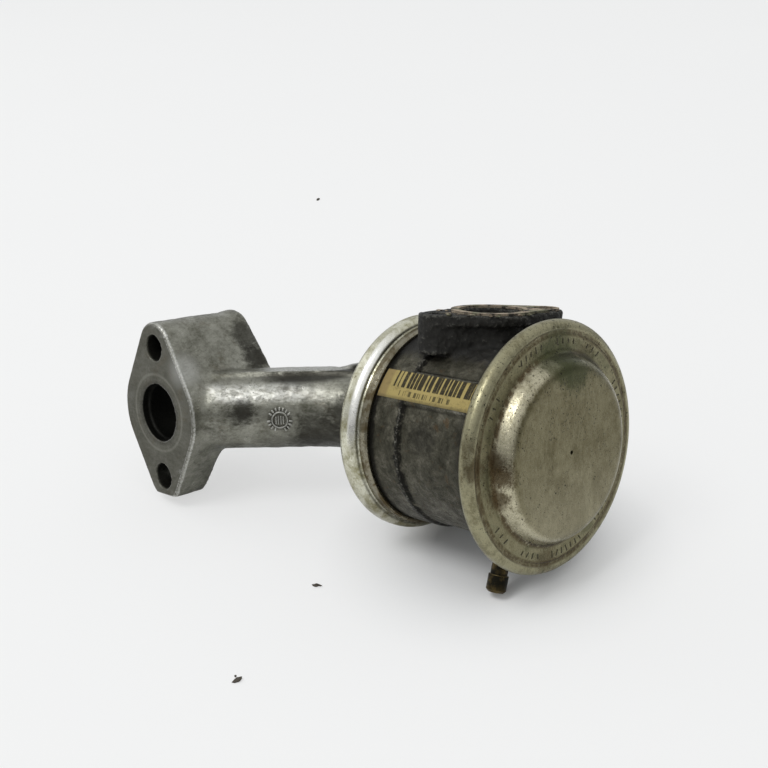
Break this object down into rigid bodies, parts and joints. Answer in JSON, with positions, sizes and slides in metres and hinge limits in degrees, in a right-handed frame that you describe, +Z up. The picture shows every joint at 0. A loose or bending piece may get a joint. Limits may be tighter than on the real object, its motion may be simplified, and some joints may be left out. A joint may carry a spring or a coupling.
{
  "type": "vacuum-operated exhaust gas valve with non-return valve",
  "caption": "Drum-shaped diaphragm valve with a bolted inlet boss on top, a vacuum nipple below and an elbow that ends in a diamond flange.",
  "frame": {"origin": "centre of the outlet bore on the flange face", "axes": "-Y out of the flange face, +Z up along the line of its two bolt holes, +X along the drum axis towards the vacuum cap"},
  "size_m": [0.1503, 0.081, 0.0789],
  "materials": {
    "cast_alloy": "as cast, stained",
    "drum_alloy": "as cast, sooty",
    "plated_steel": "yellowed plating, worn",
    "nipple_brass": "dark, tarnished",
    "label_foil": "satin",
    "gasket_fibre": "burnt, matt",
    "rubber_black": "matt",
    "bright_steel": "ground",
    "spring_steel": "drawn wire",
    "bush_bronze": "sintered"
  },
  "bodies": {
    "root": {"check_collar": "bright_steel", "check_plate": "bright_steel", "check_rivet": "bright_steel", "check_spring": "spring_steel", "check_stop": "bright_steel", "diaphragm": "rubber_black", "guide_bush": "bush_bronze", "inlet_gasket": "gasket_fibre", "label": "label_foil", "outlet_casting": "cast_alloy", "outlet_crimp_ring": "plated_steel", "return_spring": "spring_steel", "rim_seal": "rubber_black", "spring_seat": "bright_steel", "stem_seal": "rubber_black", "stem_seal_retainer": "bright_steel", "vacuum_cap": "plated_steel", "vacuum_nipple": "nipple_brass", "valve_housing": "drum_alloy", "valve_seat": "bright_steel"},
    "valve": {"valve_stem": "bright_steel", "valve_disc": "bright_steel", "valve_disc_seal": "rubber_black", "disc_support_washer": "bright_steel", "diaphragm_dish": "plated_steel", "diaphragm_backing_plate": "plated_steel"},
    "check": {"check_disc": "bright_steel"}
  },
  "joints": [
    {"name": "valve_lift", "type": "slide", "parent": "root", "child": "valve", "axis": [-1, 0, 0], "range_m": [0, 0.0048], "stiffness_N_per_m": 3000, "springref_m": -0.007, "deforming": ["return_spring", "diaphragm"]},
    {"name": "check_lift", "type": "slide", "parent": "root", "child": "check", "axis": [-1, 0, 0], "range_m": [0, 0.0025], "stiffness_N_per_m": 80, "springref_m": -0.004, "deforming": ["check_spring"]}
  ]
}
